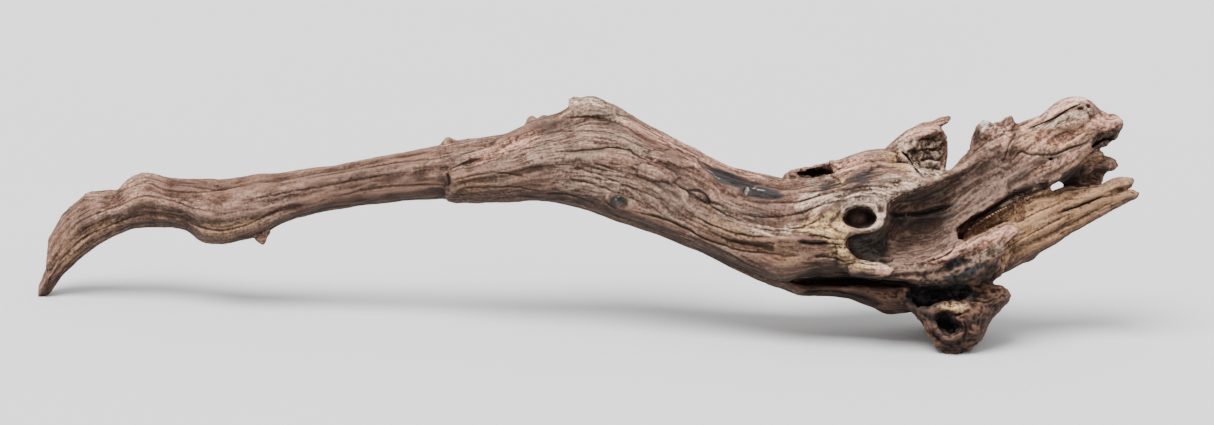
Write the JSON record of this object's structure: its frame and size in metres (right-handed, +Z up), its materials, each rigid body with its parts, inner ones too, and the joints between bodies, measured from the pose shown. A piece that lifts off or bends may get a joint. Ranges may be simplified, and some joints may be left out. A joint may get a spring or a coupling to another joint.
{
  "type": "piece of driftwood",
  "caption": "Weathered piece of driftwood: a long bent limb with a thin curved tip and a hollow, torn root end with splintered prongs.",
  "frame": {"origin": "middle of the footprint's box, on the surface that the piece stands on", "axes": "+X along the piece from its thin tip to its prongs, +Z up; the pictured side faces -Y"},
  "size_m": [0.877, 0.1142, 0.1969],
  "materials": {
    "weathered_wood": "dull, dry, weathered bare wood, pinkish brown to grey"
  },
  "bodies": {
    "root": {"driftwood": "weathered_wood"}
  },
  "joints": []
}
